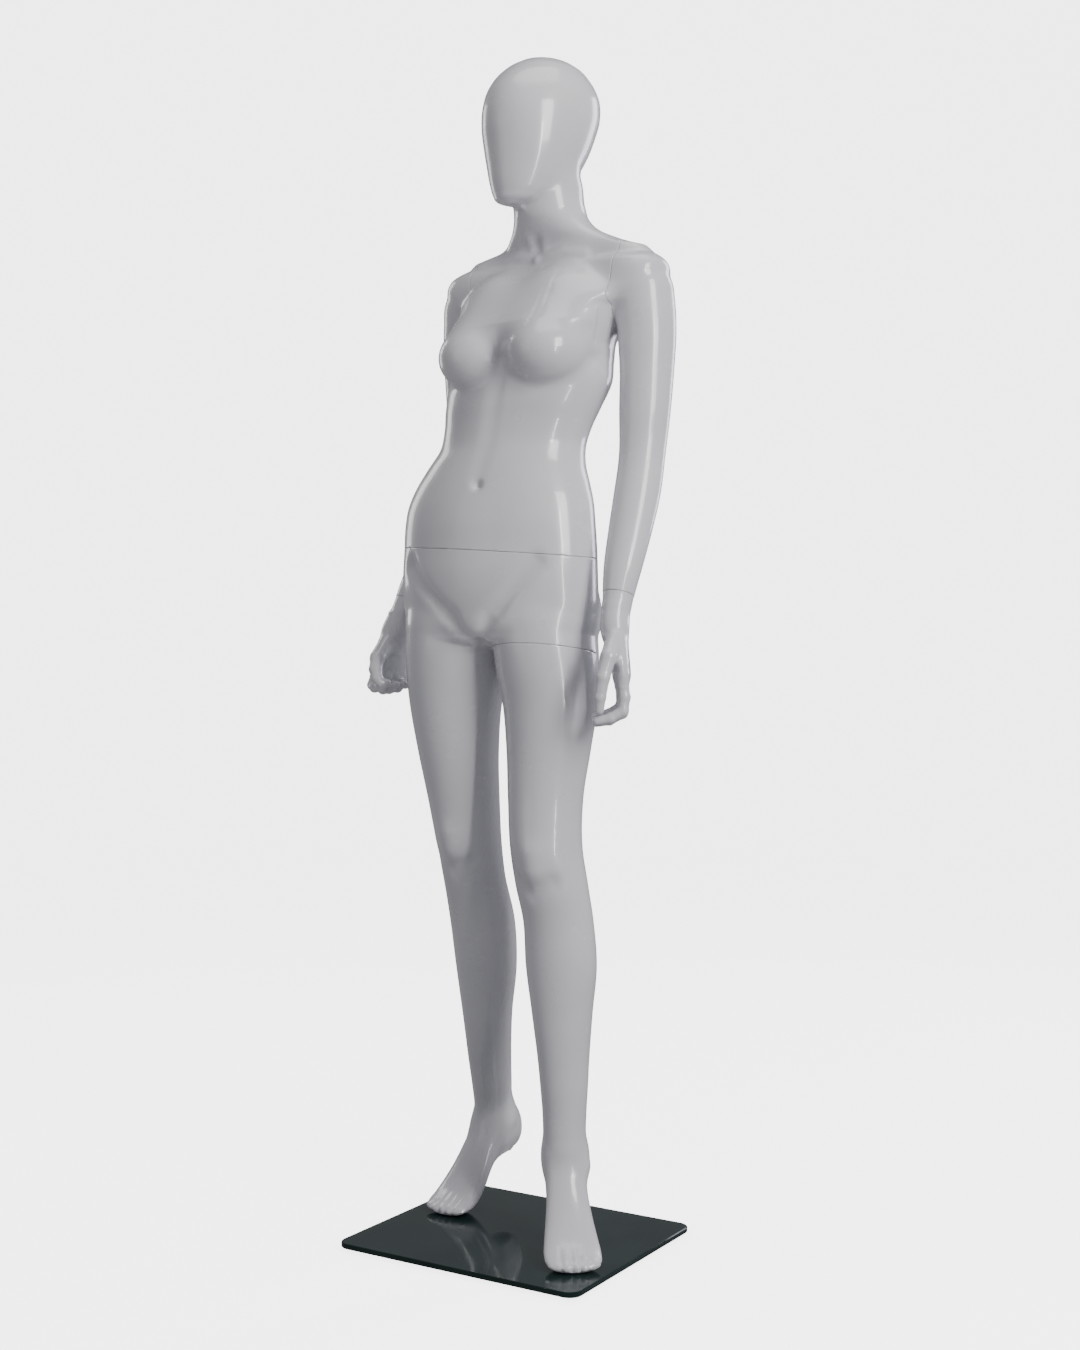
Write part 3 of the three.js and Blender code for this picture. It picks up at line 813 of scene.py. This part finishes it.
def noise(tree, scale, detail=3.0, stretch=(1, 1, 1)):
    """A noise texture in object coordinates, its output from 0 to 1."""
    where = tree.nodes.new("ShaderNodeTexCoord")
    mapping = tree.nodes.new("ShaderNodeMapping")
    mapping.inputs["Scale"].default_value = stretch
    texture = tree.nodes.new("ShaderNodeTexNoise")
    texture.inputs["Scale"].default_value = scale
    texture.inputs["Detail"].default_value = detail
    tree.links.new(where.outputs["Object"], mapping.inputs["Vector"])
    tree.links.new(mapping.outputs["Vector"], texture.inputs["Vector"])
    return texture.outputs["Fac"]


def ramp(tree, fac, low, high, start=0.35, end=0.65):
    """The factor spread between two grey values, or two colours."""
    node = tree.nodes.new("ShaderNodeValToRGB")
    for element, at, value in zip(node.color_ramp.elements, (start, end), (low, high)):
        element.position = at
        element.color = (*value, 1) if isinstance(value, tuple) else (value, value, value, 1)
    tree.links.new(fac, node.inputs["Fac"])
    return node.outputs["Color"]


def bump(tree, shader, height, strength, distance):
    node = tree.nodes.new("ShaderNodeBump")
    node.inputs["Strength"].default_value = strength
    node.inputs["Distance"].default_value = distance
    tree.links.new(height, node.inputs["Height"])
    tree.links.new(node.outputs["Normal"], shader.inputs["Normal"])


def gloss_white():
    """Sprayed gloss lacquer on a fibreglass moulding: faint orange peel, handling haze, a lavender grey
    tone that varies at random.
    """
    material, tree, shader = node_material(
        "gloss_white_lacquer", IOR=1.5, Coat_Weight=0.5, Coat_Roughness=0.05, Coat_IOR=1.5,
    )
    tone = ramp(tree, noise(tree, 5, 4), (0.66, 0.65, 0.69), (0.73, 0.72, 0.75))
    tree.links.new(tone, shader.inputs["Base Color"])
    tree.links.new(ramp(tree, noise(tree, 22, 5), 0.2, 0.28), shader.inputs["Roughness"])
    bump(tree, shader, noise(tree, 420, 2), 0.05, 0.0004)
    return material


def inner_plate():
    """Unpolished moulded resin."""
    material, tree, shader = node_material("moulded_plate")
    tone = ramp(tree, noise(tree, 60, 6), (0.60, 0.60, 0.60), (0.68, 0.68, 0.68))
    tree.links.new(tone, shader.inputs["Base Color"])
    tree.links.new(ramp(tree, noise(tree, 140, 4), 0.5, 0.66), shader.inputs["Roughness"])
    bump(tree, shader, noise(tree, 900, 3), 0.25, 0.0003)
    return material


def metal(name, tone, rough_low, rough_high, stretch):
    material, tree, shader = node_material(name, Metallic=1.0)
    light = tuple(min(1.0, c * 1.12) for c in tone)
    tree.links.new(ramp(tree, noise(tree, 30, 4, stretch), tone, light), shader.inputs["Base Color"])
    rough = ramp(tree, noise(tree, 160, 5, stretch), rough_low, rough_high)
    tree.links.new(rough, shader.inputs["Roughness"])
    bump(tree, shader, noise(tree, 500, 3, stretch), 0.1, 0.0002)
    return material


def tinted_glass():
    """Dark green tinted toughened glass, polished, with a little dust and handling haze."""
    material, tree, shader = node_material(
        "tinted_glass", IOR=1.5, Specular_IOR_Level=0.3,
    )
    tone = ramp(tree, noise(tree, 9, 5), (0.006, 0.016, 0.015), (0.011, 0.025, 0.023))
    tree.links.new(tone, shader.inputs["Base Color"])
    tree.links.new(ramp(tree, noise(tree, 14, 6), 0.04, 0.12, 0.4, 0.75), shader.inputs["Roughness"])
    bump(tree, shader, noise(tree, 6, 2), 0.02, 0.002)
    return material


def rubber():
    material, tree, shader = node_material("black_rubber")
    tree.links.new(ramp(tree, noise(tree, 200, 4), 0.018, 0.035), shader.inputs["Base Color"])
    tree.links.new(ramp(tree, noise(tree, 300, 3), 0.7, 0.9), shader.inputs["Roughness"])
    bump(tree, shader, noise(tree, 1200, 2), 0.3, 0.0003)
    return material


WHITE, MOULDED = gloss_white(), inner_plate()
STEEL = metal("brushed_steel", (0.50, 0.51, 0.53), 0.24, 0.42, (1, 1, 6))
CHROME = metal("polished_chrome", (0.78, 0.79, 0.80), 0.05, 0.14, (1, 1, 1))
GLASS, RUBBER = tinted_glass(), rubber()

# The CAD nodes that keep their own mesh, and their finish.
KEPT = {
    "steel": (STEEL, [
        "support_rod", "under_washer", "hub_bolt", "rod_socket_tube", "leg_post", "thigh_socket",
        "waist_spigot", "waist_socket", "left_shoulder_socket", "right_shoulder_socket",
        "left_shoulder_stud", "right_shoulder_stud", "left_wrist_socket", "right_wrist_socket",
        "left_wrist_pin", "right_wrist_pin",
    ]),
    "chrome": (CHROME, ["base_hub", "rod_set_screw"]),
    "rubber": (RUBBER, [
        "hub_gasket", "bumper_front_left", "bumper_front_right", "bumper_back_left", "bumper_back_right",
    ]),
    "tinted_glass": (GLASS, ["glass_base"]),
}


def paint_kept_nodes():
    for slot, (material, names) in KEPT.items():
        for name in names:
            node = frame["nodes"][name]
            node.data.materials.clear()
            node.data.materials.append(material)


# ---- building the mouldings ----
FIGURE_BOX = ((-275, -150, 0), (250, 205, 1800))
LEG_BOX = ((-30, -170, 0), (205, 100, 920))
FIGURE_PARTS = {  # the bodies cut from the figure, and a point near the outside of each
    "torso_head": (24, 30, 1780),
    "hips_right_leg": (-120, 60, 300),
    "left_arm": (230, 40, 1170),
    "right_arm": (-200, 118, 1170),
}


WAIST_ROW = TRUNK[6]  # the section just above the waist seam
WAIST_MARGIN = 7  # the waist cut reaches this far past that section
CUT_PAST = 30  # how far a cut runs on through the end that it takes away
ARM_END = 80  # and how far the wrist cuts run on
WRIST_CUT, HAND_CUT = 32, 60  # radii of the discs that cut an arm and a hand at the wrist
BORE_PAST = 14  # the bore in the ankle runs this far above the rod
PLATE_BORE_DEPTH = 20  # each way from the seam
PLATE_CUT = 400  # radius of a disc wider than any plate


def on_waist_cut(c):
    """The trunk's part of the waist seam's plane, clear of the arms that hang past it."""
    return -190 < c.x < 145 and (c.y < 20 or c.x > -168)


def thigh_outline(right):
    """A rectangle round the top of the left leg, from the figure's right to its left."""
    left, front, back = 160, -160, 200
    return [(right, front), (left, front), (left, back), (right, back)]


def on_shoulder_cut(c):
    return c.z > CHEST or (c.z > ARMPIT and c.y > FLANK)


def shoulder_outline(side):
    """The part of a shoulder's seam plane that the cut covers, in the plane's own coordinates."""
    basis = plane_basis(SHOULDER[side]).inverted().to_3x3()
    up, out = basis @ Vector((0, 0, 1)), basis @ Vector((0, 1, 0))
    _, y, z = SHOULDER[side]["at"]
    corners = [(ARMPIT, FLANK), (ARMPIT, 160), (1520, 160), (1520, -100), (CHEST, -100), (CHEST, FLANK)]
    points = [(up * (cz - z) + out * (cy - y)).xy for cz, cy in corners]
    turned = sum(a.x * b.y - a.y * b.x for a, b in zip(points, points[1:] + points[:1]))
    return [tuple(p) for p in (points if turned > 0 else points[::-1])]


def build_figure():
    """The torso and head, the hips and right leg, and the two arms."""
    low, high = FIGURE_BOX
    whole = new_object("figure", *surface(figure, low, high, BODY_STEP))
    ease_seam(whole, WAIST, on_waist_cut)
    ease_seam(whole, THIGH, lambda c: c.x > CROTCH)
    for side in SIDES:
        ease_seam(whole, SHOULDER[side], on_shoulder_cut)
        x = WRIST[side]["at"][0]
        ease_seam(whole, WRIST[side], lambda c, x=x: abs(c.x - x) < 36)
    hollow = new_object("hollow", *surface(inner(figure_hollow), low, high, HOLLOW_STEP, 2))
    boolean(whole, hollow)
    _, _, _, half_width, front, back = WAIST_ROW
    waist = ellipse(half_width + WAIST_MARGIN, (front + back) / 2 + WAIST_MARGIN)
    boolean(whole, prism("cut", waist, -SEAM, SEAM, WAIST))
    boolean(whole, prism("cut", thigh_outline(CROTCH - 60), -CUT_PAST, SEAM, THIGH))
    for side in SIDES:
        boolean(whole, prism("cut", shoulder_outline(side), -SEAM, SEAM, SHOULDER[side]))
        boolean(whole, prism("cut", circle(WRIST_CUT, 24), -SEAM, ARM_END, WRIST[side]))
    parts = islands(whole)
    bpy.data.objects.remove(whole)
    for body, near in FIGURE_PARTS.items():
        part = min(parts, key=lambda part: np.linalg.norm(part[0] / MM - near, axis=1).min())
        finish_piece(piece_from(part, body + "_moulding"), body, WHITE, "gloss_white", body + "_shell")


def figure_hollow(p):
    """The figure's outside, cut off low in the right leg so that its inside is solid in the foot."""
    return np.maximum(figure(p), np.where(p[:, 0] < 60, RIGHT_FILL - p[:, 2] - WALL, -FAR))


def build_left_leg():
    low, high = LEG_BOX
    whole = new_object("left_leg_moulding", *surface(left_leg, low, high, BODY_STEP))
    ease_seam(whole, THIGH, lambda c: True)

    def hollowed(p):
        ends = np.maximum(ANKLE_FILL - p[:, 2] - WALL, off_plane(p, THIGH) - 12)
        return np.maximum(leg(p, "left") + relief(p), ends)

    hollow = new_object("hollow", *surface(inner(hollowed), low, high, HOLLOW_STEP, 2))
    boolean(whole, hollow)
    boolean(whole, prism("cut", thigh_outline(-120), -SEAM, CUT_PAST, THIGH))
    ankle = {"at": np.array([ROD.x, ROD.y, 0.0]), "axis": np.array([0.0, 0.0, 1.0])}
    bore = (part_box("rod_socket_tube")[1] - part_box("rod_socket_tube")[0]).x / 2 / MM + FIT
    boolean(whole, prism("cut", circle(bore), 0, ROD_TOP + BORE_PAST, ankle))
    part = islands(whole)[0]
    bpy.data.objects.remove(whole)
    finish_piece(piece_from(part, "left_leg_moulding"), "left_leg", WHITE, "gloss_white", "left_leg_shell")


def build_hand(side):
    at = WRIST[side]["at"]
    low, high = at - (70, 105, 205), at + (60, 62, 16)
    whole = new_object(side + "_hand_moulding", *surface(hand(side), low, high, HAND_STEP))
    ease_seam(whole, WRIST[side], lambda c: True)
    boolean(whole, prism("cut", circle(HAND_CUT, 24), -CUT_PAST, SEAM, WRIST[side]))
    part = islands(whole)[0]
    bpy.data.objects.remove(whole)
    moulding = piece_from(part, side + "_hand_moulding")
    finish_piece(moulding, side + "_hand", WHITE, "gloss_white", side + "_hand")


def build_plate(name, field, plane, side, bore, reach, body):
    """A plate that closes a moulding behind a seam: side +1 is ahead of the plane's axis, -1 behind."""
    middle = side * (SEAM + PLATE / 2)
    inside = inner(field, FIT)

    def slab(p):
        return np.maximum(inside(p), np.abs(off_plane(p, plane) - middle) - PLATE - 4)

    at = plane["at"]
    obj = new_object(name, *surface(slab, at - reach, at + reach, 4.0, 2))
    low, high = sorted((side * SEAM, side * (SEAM + PLATE)))
    boolean(obj, prism("cut", circle(PLATE_CUT, 16), low, high, plane), "INTERSECT")
    boolean(obj, prism("cut", circle(bore), -PLATE_BORE_DEPTH, PLATE_BORE_DEPTH, plane))
    part = islands(obj)[0]
    bpy.data.objects.remove(obj)
    finish_piece(piece_from(part, name + "_moulded"), body, MOULDED, "inner_plate", name)


def shoulder_inside(p):
    """The figure, kept to where the shoulder cuts reach."""
    front = np.minimum(FLANK - p[:, 1], CHEST - p[:, 2])
    return np.maximum(figure(p), np.maximum(ARMPIT - p[:, 2], front))


# Half the box that each kind of plate is meshed in, and the radii of the holes for the fittings.
WAIST_REACH, THIGH_REACH = (190, 135, 26), (95, 110, 30)
SHOULDER_REACH, WRIST_REACH = (46, 115, 105), (40, 40, 26)
WAIST_BORES, THIGH_BORES, SHOULDER_BORES, WRIST_BORE = (13.8, 13.5), (12.7, 12.5), (8.7, 8.4), 6.6


def build_plates():
    above, below = WAIST_BORES
    build_plate("torso_waist_plate", torso, WAIST, 1, above, WAIST_REACH, "torso_head")
    build_plate("hips_waist_plate", torso, WAIST, -1, below, WAIST_REACH, "hips_right_leg")
    above, below = THIGH_BORES
    build_plate("hips_thigh_plate", legs["left"], THIGH, 1, above, THIGH_REACH, "hips_right_leg")
    build_plate("left_leg_top_plate", legs["left"], THIGH, -1, below, THIGH_REACH, "left_leg")
    in_torso, in_arm = SHOULDER_BORES
    for side in SIDES:
        shoulder, wrist, arm = SHOULDER[side], WRIST[side], side + "_arm"
        build_plate(
            f"torso_{side}_shoulder_plate", shoulder_inside, shoulder, -1, in_torso, SHOULDER_REACH,
            "torso_head",
        )
        build_plate(f"{side}_arm_shoulder_plate", shoulder_inside, shoulder, 1, in_arm, SHOULDER_REACH, arm)
        build_plate(f"{side}_arm_wrist_plate", arms[side], wrist, -1, WRIST_BORE, WRIST_REACH, arm)


# ---- camera, lights and stage ----
VIEW_AZIMUTH = math.radians(31.9)
CAMERA_AWAY, CAMERA_ASIDE, CAMERA_UP = 2.581, 0.035, 0.851  # metres from the middle of the base
LENS, SENSOR = 45.9, 36.0
FLOOR_RADIUS, COVE_RADIUS, BACKDROP_TOP = 5.5, 1.5, 7.0
BACK = Vector((math.sin(VIEW_AZIMUTH), -math.cos(VIEW_AZIMUTH), 0))
RIGHT = Vector((math.cos(VIEW_AZIMUTH), math.sin(VIEW_AZIMUTH), 0))


def place_camera():
    camera = bpy.data.objects.new("camera", bpy.data.cameras.new("camera"))
    camera.data.sensor_width, camera.data.lens = SENSOR, LENS
    camera.location = BACK * CAMERA_AWAY + RIGHT * CAMERA_ASIDE + Vector((0, 0, CAMERA_UP))
    camera.rotation_euler = (math.pi / 2, 0, VIEW_AZIMUTH)
    bpy.context.scene.collection.objects.link(camera)
    bpy.context.scene.camera = camera


def area_light(name, right, back, up, size, power, colour=(1, 1, 1), aim=(0, 0, 0.95)):
    """A soft box, placed by metres to the viewer's right of, in front of and above the figure's feet."""
    light = bpy.data.lights.new(name, "AREA")
    light.shape, light.energy, light.color = "RECTANGLE", power, colour
    light.size, light.size_y = size
    obj = bpy.data.objects.new(name, light)
    obj.location = RIGHT * right + BACK * back + Vector((0, 0, up))
    obj.rotation_euler = (obj.location - Vector(aim)).to_track_quat("Z", "Y").to_euler()
    bpy.context.scene.collection.objects.link(obj)
    return obj


def light_stage():
    area_light("key", 1.9, 2.2, 2.3, (0.9, 1.6), 62)
    area_light("strip", 1.35, 2.0, 1.2, (0.10, 1.5), 13)
    area_light("fill", -2.4, 1.6, 1.5, (1.4, 2.0), 5)
    area_light("top", 0.2, 0.4, 3.2, (1.6, 1.2), 14)
    area_light("rim_left", -1.8, -1.8, 1.9, (0.7, 1.8), 14)
    area_light("rim_right", 1.9, -1.7, 1.9, (0.7, 1.8), 26, (0.87, 0.85, 1.0))
    world = bpy.data.worlds.new("studio")
    world.use_nodes = True
    world.node_tree.nodes["Background"].inputs["Color"].default_value = (0.62, 0.63, 0.66, 1)
    world.node_tree.nodes["Background"].inputs["Strength"].default_value = 0.42
    bpy.context.scene.world = world


def build_stage():
    """A pale floor that curves up into a backdrop all round, so that every view has the same ground."""
    material, tree, shader = node_material("stage_paper", Roughness=0.9)
    tone = ramp(tree, noise(tree, 2, 3), (0.90, 0.90, 0.90), (0.93, 0.93, 0.93))
    tree.links.new(tone, shader.inputs["Base Color"])
    shader.inputs["Emission Color"].default_value = (1, 1, 1, 1)
    shader.inputs["Emission Strength"].default_value = 4.0
    profile = [(0.0, 0.0), (FLOOR_RADIUS, 0.0)]
    profile += [
        (FLOOR_RADIUS + COVE_RADIUS * math.sin(t), COVE_RADIUS - COVE_RADIUS * math.cos(t))
        for t in np.linspace(0.2, math.pi / 2, 10)
    ]
    profile += [(FLOOR_RADIUS + COVE_RADIUS, BACKDROP_TOP)]
    around = 64
    points = [
        (r * math.cos(2 * math.pi * i / around) / MM, r * math.sin(2 * math.pi * i / around) / MM, z / MM)
        for r, z in profile for i in range(around)
    ]
    faces = [
        (k * around + i, k * around + (i + 1) % around, (k + 1) * around + (i + 1) % around,
         (k + 1) * around + i)
        for k in range(len(profile) - 1) for i in range(around)
    ]
    floor = new_object("stage_floor", points, faces)
    floor.data.materials.append(material)
    floor.data.shade_smooth()
    floor.visible_glossy = floor.visible_diffuse = floor.visible_shadow = False
    floor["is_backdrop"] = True


build_figure()
build_left_leg()
for side in SIDES:
    build_hand(side)
build_plates()
paint_kept_nodes()
place_camera()
light_stage()
build_stage()

box = {"cad": CAD_BOX, "visual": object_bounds()}
{name: [list(corner) for corner in corners] for name, corners in box.items()}
